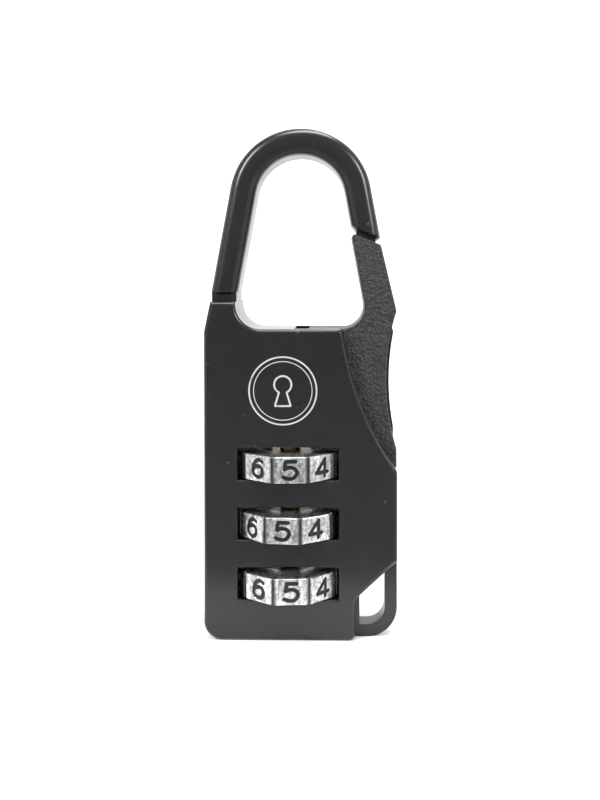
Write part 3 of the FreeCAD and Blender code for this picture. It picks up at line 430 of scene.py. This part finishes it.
def printed_band(name, outline, half_width, closed=True):
    """Thin raised band along a flat outline: four corners of its section carried round the outline, each
    moved half the width along the outline's normal."""
    line = np.asarray(outline, float)
    if closed:
        tangent = np.roll(line, -1, 0) - np.roll(line, 1, 0)
    else:
        tangent = np.gradient(line, axis=0)
    tangent /= np.linalg.norm(tangent, axis=1)[:, None]
    normal = np.stack([tangent[:, 1], -tangent[:, 0]], 1)
    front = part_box("front_cover")[0][1] / MM
    section = [(-half_width, 0.0), (half_width, 0.0), (half_width, -PRINT_THICKNESS),
               (-half_width, -PRINT_THICKNESS)]
    corners = []
    for offset, proud in section:
        place = line + normal * offset
        corners.append(np.stack([place[:, 0] + PRINT_CENTRE[0], np.full(len(line), front + proud),
                                 place[:, 1] + PRINT_CENTRE[1]], 1))
    points = np.stack(corners, 1) * MM
    piece = skin(name, points, wrap_u=closed, wrap_v=True, caps=() if closed else ("first", "last"))
    paint(piece, PRINT)

    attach(piece, "root")
    return piece


def ring_outline(radius, count=120, start=0.0, sweep=2 * math.pi):
    turn = start + np.linspace(0, sweep, count, endpoint=sweep < 2 * math.pi - 1e-6)
    return np.stack([radius * np.cos(turn), radius * np.sin(turn)], 1)


def keyhole_outline(head, throat, foot, drop, lift):
    """Round head on a flared foot, walked anticlockwise from the foot's right corner."""
    open_angle = math.asin(throat / head)
    arc = ring_outline(head, 60, -math.pi / 2 + open_angle, 2 * math.pi - 2 * open_angle)
    side = np.linspace(0, 1, 14)[1:-1, None]
    left = arc[-1] + (np.array([-foot, -drop]) - arc[-1]) * side
    right = np.array([foot, -drop]) + (arc[0] - np.array([foot, -drop])) * side
    base = np.column_stack([np.linspace(-foot, foot, 14), np.full(14, -drop)])
    return np.vstack([arc, left, base, right]) + np.array([0.0, lift])


printed_band("print_outer_ring", ring_outline(4.9), 0.11)
printed_band("print_inner_ring", ring_outline(4.25), 0.06)
printed_band("print_keyhole", keyhole_outline(1.25, 0.55, 1.15, 3.1, 0.9), 0.13)


# ---------------------------------------------------------------- studio
def studio_bowl():
    """Pale floor that curves up all round: radius and height of a profile turned about Z."""
    flat, bend, wall = 0.42, 0.25, 0.55
    arc = np.linspace(0, math.pi / 2, 24)
    radius = np.concatenate([np.linspace(0.002, flat, 14), flat + bend * np.sin(arc[1:]), [flat + bend]])
    height = np.concatenate([np.zeros(14), bend * (1 - np.cos(arc[1:])), [bend + wall]])
    turn = np.linspace(0, 2 * math.pi, 96, endpoint=False)
    points = np.stack([radius[:, None] * np.cos(turn), radius[:, None] * np.sin(turn),
                       np.broadcast_to(height[:, None], (len(height), len(turn)))], -1)
    bowl = skin("studio_floor", points[:, ::-1], wrap_v=True, caps=("first",))
    smooth(bowl, 60)
    finish = Finish("pale_floor")
    cloud = finish.noise(6, 2)
    paint(bowl, finish.done(Base_Color=finish.mix(cloud, grey(0.90), grey(0.92)), Roughness=0.6 + cloud * 0.1))
    return bowl


def dark_card(name, corner, along, up):
    """Dark grey flat card, a corner plus two edges, that the front reflects; the camera and the lights pass it."""
    u, v = np.meshgrid(np.linspace(0, 1, 3), np.linspace(0, 1, 3))
    card = skin(name, np.array(corner) + u[..., None] * np.array(along) + v[..., None] * np.array(up))
    finish = Finish(f"{name}_flocking")
    nap = finish.noise(400, 2)
    paint(card, finish.done(Base_Color=finish.mix(nap, grey(0.26), grey(0.30)), Roughness=0.9,
                            Specular_IOR_Level=0.0))
    card.visible_camera = False
    card.visible_shadow = False
    return card


def softbox(name, place, aim, width, height, power):
    """Rectangular light at a place, facing a point."""
    lamp = bpy.data.lights.new(name, "AREA")
    lamp.shape = "RECTANGLE"
    lamp.size, lamp.size_y, lamp.energy = width, height, power
    light = bpy.data.objects.new(name, lamp)
    bpy.context.scene.collection.objects.link(light)
    direction = np.array(aim, float) - np.array(place, float)
    light.rotation_euler = Vector(direction).to_track_quat("-Z", "Y").to_euler()
    light.location = place
    light.visible_camera = False
    return light


def camera():
    """Nearly level camera close in front, its frame shifted so that the padlock sits low in it."""
    lens = bpy.data.cameras.new("camera")
    body = bpy.data.objects.new("camera", lens)
    bpy.context.scene.collection.objects.link(body)
    frame_wide, frame_tall = 600, 800
    focal, centre_x, centre_y = 802.3, 322.5, 289.2
    lens.sensor_fit = "VERTICAL"
    lens.sensor_height = 36.0
    lens.lens = 36.0 * focal / frame_tall
    lens.shift_x = (frame_wide / 2 - centre_x) / frame_tall
    lens.shift_y = (centre_y - frame_tall / 2) / frame_tall
    body.location = (0.0070, -0.1217, 0.0522)
    body.rotation_euler = (math.radians(90 - 0.53), math.radians(0.04), math.radians(0.98))
    lens.clip_start = 0.01
    bpy.context.scene.camera = body


studio_bowl()
softbox("key_left", (-0.22, -0.20, 0.24), (0, 0, 0.05), 0.07, 0.16, 1.1)
softbox("key_right", (0.24, -0.16, 0.20), (0, 0, 0.05), 0.06, 0.14, 0.7)
softbox("overhead", (0.02, -0.02, 0.36), (0, 0, 0.04), 0.26, 0.10, 1.3)
softbox("backdrop", (0.0, 0.30, 0.50), (0, 0.67, 0.16), 0.6, 0.1, 2.5)
dark_card("front_flag", (-0.18, -0.26, 0.0), (0.36, 0.0, 0.0), (0.0, 0.0, 0.26))
dark_card("floor_flag", (-0.18, -0.26, 0.0015), (0.36, 0.0, 0.0), (0.0, 0.235, 0.0))
bpy.context.scene.view_settings.view_transform = "Standard"
world = bpy.data.worlds.new("soft_room")
world.use_nodes = True
world.node_tree.nodes["Background"].inputs["Color"].default_value = (1, 1, 1, 1)
world.node_tree.nodes["Background"].inputs["Strength"].default_value = 0.55
bpy.context.scene.world = world
camera()
